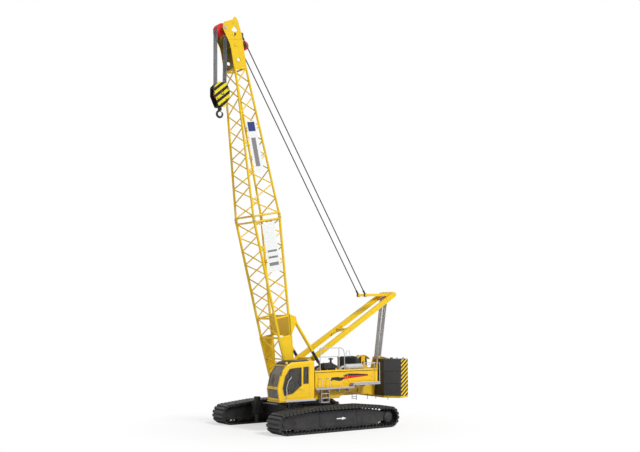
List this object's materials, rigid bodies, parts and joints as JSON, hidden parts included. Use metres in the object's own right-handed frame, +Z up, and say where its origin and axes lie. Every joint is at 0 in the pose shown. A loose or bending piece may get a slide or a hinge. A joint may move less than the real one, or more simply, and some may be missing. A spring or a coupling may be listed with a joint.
{
  "type": "crawler crane",
  "caption": "Lattice-boom crawler crane: tracked undercarriage, swinging upper with cab, live mast, pendants and hook block.",
  "frame": {"origin": "on the ground under the slewing axis", "axes": "+X forward to the boom side, +Y to the operator's left, +Z up"},
  "size_m": [8.9382, 5.12, 16.4302],
  "materials": {
    "boom_yellow": "gloss",
    "frame_charcoal": "semi-gloss",
    "track_steel": "satin",
    "weight_grey": "satin",
    "sheave_red": "satin",
    "rope_steel": "satin",
    "dark_steel": "satin",
    "light_grey": "satin",
    "glass": "clear",
    "seat_fabric": "woven",
    "console_plastic": "matte",
    "sign_white": "gloss"
  },
  "bodies": {
    "undercarriage": {"track_left": "track_steel", "track_right": "track_steel", "track_frame_left": "frame_charcoal", "track_frame_right": "frame_charcoal", "idler_wheels": "track_steel", "drive_sprockets": "track_steel", "track_rollers": "track_steel", "carbody": "frame_charcoal", "slewing_ring": "frame_charcoal", "jack_housings": "frame_charcoal"},
    "superstructure": {"main_frame": "boom_yellow", "engine_housing_left": "boom_yellow", "engine_housing_right": "boom_yellow", "walkways": "light_grey", "handrails": "light_grey", "engine_block": "track_steel", "muffler": "dark_steel", "oil_cooler": "dark_steel", "air_cleaner": "light_grey", "fuel_tank": "boom_yellow", "counterweight_tray": "boom_yellow", "counterweight_left": "weight_grey", "counterweight_right": "weight_grey", "hazard_plates": "boom_yellow", "rear_gantry": "boom_yellow", "cab_shell": "boom_yellow", "cab_roof": "dark_steel", "cab_glass": "glass", "operator_seat": "seat_fabric", "control_console": "console_plastic", "luffing_ropes": "rope_steel"},
    "boom": {"boom_base_section": "boom_yellow", "boom_top_section": "boom_yellow", "boom_head": "boom_yellow", "boom_signs": "sign_white", "pendants": "rope_steel", "backstop_tubes": "boom_yellow"},
    "mast": {"mast": "boom_yellow"},
    "backstop_rods": {"backstop_rods": "dark_steel"},
    "head_sheaves": {"head_sheaves": "sheave_red"},
    "guide_sheaves": {"guide_sheaves": "sheave_red"},
    "mast_sheaves": {"mast_sheaves": "sheave_red"},
    "bridle_sheaves": {"bridle_sheaves": "sheave_red"},
    "hoist_line": {"hoist_ropes": "rope_steel"},
    "hook_block": {"hook_block": "boom_yellow"},
    "block_sheaves": {"block_sheaves": "sheave_red"},
    "hook": {"hook": "dark_steel"},
    "main_drum": {"main_drum": "dark_steel"},
    "auxiliary_drum": {"auxiliary_drum": "dark_steel"},
    "luffing_drum": {"luffing_drum": "dark_steel"},
    "cab_door": {"cab_door": "boom_yellow", "door_glass": "glass"},
    "housing_door_left_front": {"housing_door_left_front": "boom_yellow"},
    "housing_door_left_rear": {"housing_door_left_rear": "boom_yellow"},
    "housing_door_right_front": {"housing_door_right_front": "boom_yellow"},
    "housing_door_right_rear": {"housing_door_right_rear": "boom_yellow"},
    "jack_leg_front_left": {"jack_leg_front_left": "dark_steel"},
    "jack_leg_front_right": {"jack_leg_front_right": "dark_steel"},
    "jack_leg_rear_left": {"jack_leg_rear_left": "dark_steel"},
    "jack_leg_rear_right": {"jack_leg_rear_right": "dark_steel"}
  },
  "joints": [
    {"name": "swing", "type": "hinge", "parent": "undercarriage", "child": "superstructure", "pos_m": [0, 0, 1.1], "axis": [0, 0, 1], "continuous": true},
    {"name": "boom_luff", "type": "hinge", "parent": "superstructure", "child": "boom", "pos_m": [1.133, 0, 2.017], "axis": [0, 1, 0], "range_deg": [0, 79.6], "deforming": ["luffing_ropes"]},
    {"name": "mast_luff", "type": "hinge", "parent": "superstructure", "child": "mast", "pos_m": [1.133, 0, 2.017], "axis": [0, 1, 0], "range_deg": [0, 79.6]},
    {"name": "backstop_spring", "type": "slide", "parent": "boom", "child": "backstop_rods", "axis": [0.567, 0, 0.8237], "range_m": [0, 0.3]},
    {"name": "head_sheave_spin", "type": "hinge", "parent": "boom", "child": "head_sheaves", "pos_m": [4.09767, 0, 15.91006], "axis": [0, 1, 0], "continuous": true},
    {"name": "guide_sheave_spin", "type": "hinge", "parent": "boom", "child": "guide_sheaves", "pos_m": [3.04429, 0, 15.4222], "axis": [0, 1, 0], "continuous": true},
    {"name": "mast_sheave_spin", "type": "hinge", "parent": "mast", "child": "mast_sheaves", "pos_m": [-4.17321, 0, 5.18563], "axis": [0, 1, 0], "continuous": true},
    {"name": "bridle_sheave_spin", "type": "hinge", "parent": "superstructure", "child": "bridle_sheaves", "pos_m": [-3.8, 0, 2.56], "axis": [0, 1, 0], "continuous": true},
    {"name": "line_hang", "type": "hinge", "parent": "boom", "child": "hoist_line", "pos_m": [4.09767, 0, 15.91006], "axis": [0, 1, 0], "range_deg": [-79.6, 0]},
    {"name": "hoist", "type": "slide", "parent": "hoist_line", "child": "hook_block", "axis": [0, 0, -1], "range_m": [-0.8, 11], "deforming": ["hoist_ropes"]},
    {"name": "block_sheave_spin", "type": "hinge", "parent": "hook_block", "child": "block_sheaves", "pos_m": [4.09767, 0, 13.32006], "axis": [0, 1, 0], "continuous": true},
    {"name": "hook_swivel", "type": "hinge", "parent": "hook_block", "child": "hook", "pos_m": [4.09767, 0, 12.72006], "axis": [0, 0, 1], "continuous": true},
    {"name": "main_drum_turn", "type": "hinge", "parent": "superstructure", "child": "main_drum", "pos_m": [0.06, 0, 2.08], "axis": [0, 1, 0], "continuous": true},
    {"name": "auxiliary_drum_turn", "type": "hinge", "parent": "superstructure", "child": "auxiliary_drum", "pos_m": [-0.95, 0, 2.08], "axis": [0, 1, 0], "continuous": true},
    {"name": "luffing_drum_turn", "type": "hinge", "parent": "superstructure", "child": "luffing_drum", "pos_m": [-2.7, 0, 2.48], "axis": [0, 1, 0], "continuous": true},
    {"name": "cab_door_hinge", "type": "hinge", "parent": "superstructure", "child": "cab_door", "pos_m": [0.886, 1.652, 1.9], "axis": [0, 0, 1], "range_deg": [0, 100]},
    {"name": "housing_door_left_front_hinge", "type": "hinge", "parent": "superstructure", "child": "housing_door_left_front", "pos_m": [0.2995, 1.35, 1.95], "axis": [0, 0, 1], "range_deg": [-110, 0]},
    {"name": "housing_door_left_rear_hinge", "type": "hinge", "parent": "superstructure", "child": "housing_door_left_rear", "pos_m": [-1.1805, 1.35, 1.95], "axis": [0, 0, 1], "range_deg": [-110, 0]},
    {"name": "housing_door_right_front_hinge", "type": "hinge", "parent": "superstructure", "child": "housing_door_right_front", "pos_m": [0.2995, -1.35, 1.95], "axis": [0, 0, 1], "range_deg": [0, 110]},
    {"name": "housing_door_right_rear_hinge", "type": "hinge", "parent": "superstructure", "child": "housing_door_right_rear", "pos_m": [-1.1805, -1.35, 1.95], "axis": [0, 0, 1], "range_deg": [0, 110]},
    {"name": "jack_front_left", "type": "slide", "parent": "undercarriage", "child": "jack_leg_front_left", "axis": [0, 0, -1], "range_m": [0, 0.4]},
    {"name": "jack_front_right", "type": "slide", "parent": "undercarriage", "child": "jack_leg_front_right", "axis": [0, 0, -1], "range_m": [0, 0.4]},
    {"name": "jack_rear_left", "type": "slide", "parent": "undercarriage", "child": "jack_leg_rear_left", "axis": [0, 0, -1], "range_m": [0, 0.4]},
    {"name": "jack_rear_right", "type": "slide", "parent": "undercarriage", "child": "jack_leg_rear_right", "axis": [0, 0, -1], "range_m": [0, 0.4]}
  ],
  "couplings": [
    {"joint": "mast_luff", "follows": "boom_luff", "ratio": 1},
    {"joint": "line_hang", "follows": "boom_luff", "ratio": -1}
  ]
}
